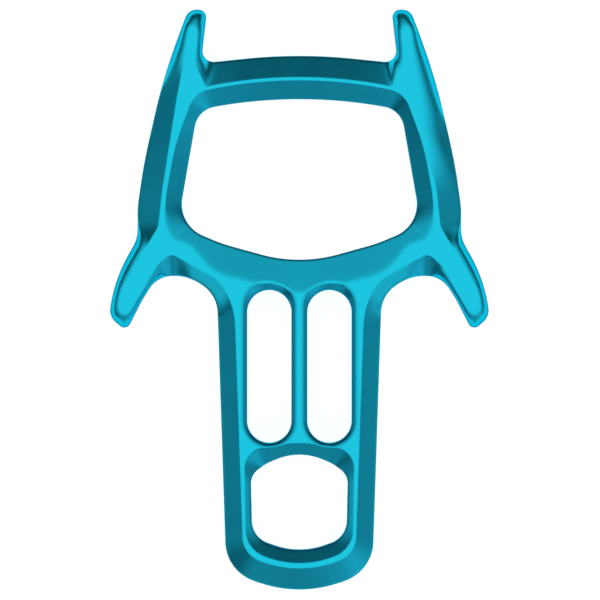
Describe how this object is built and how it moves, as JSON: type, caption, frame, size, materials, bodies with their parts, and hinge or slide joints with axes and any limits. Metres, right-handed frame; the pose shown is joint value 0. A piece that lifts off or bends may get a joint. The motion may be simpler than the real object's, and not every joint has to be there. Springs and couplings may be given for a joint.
{
  "type": "figure eight descender",
  "caption": "Horned figure eight rope descender with a wide rope window, slots in its shank and a carabiner eye.",
  "frame": {"origin": "centre of the outside box in plan, on the back face that the descender lies on", "axes": "+X across the horns, +Y from the carabiner eye to the upper horns, +Z through the thickness, out of the front face"},
  "size_m": [0.1044, 0.16, 0.012],
  "materials": {
    "anodised_blue": "satin turquoise anodising over a bead blasted surface"
  },
  "bodies": {
    "root": {"forged_body": "anodised_blue"}
  },
  "joints": []
}
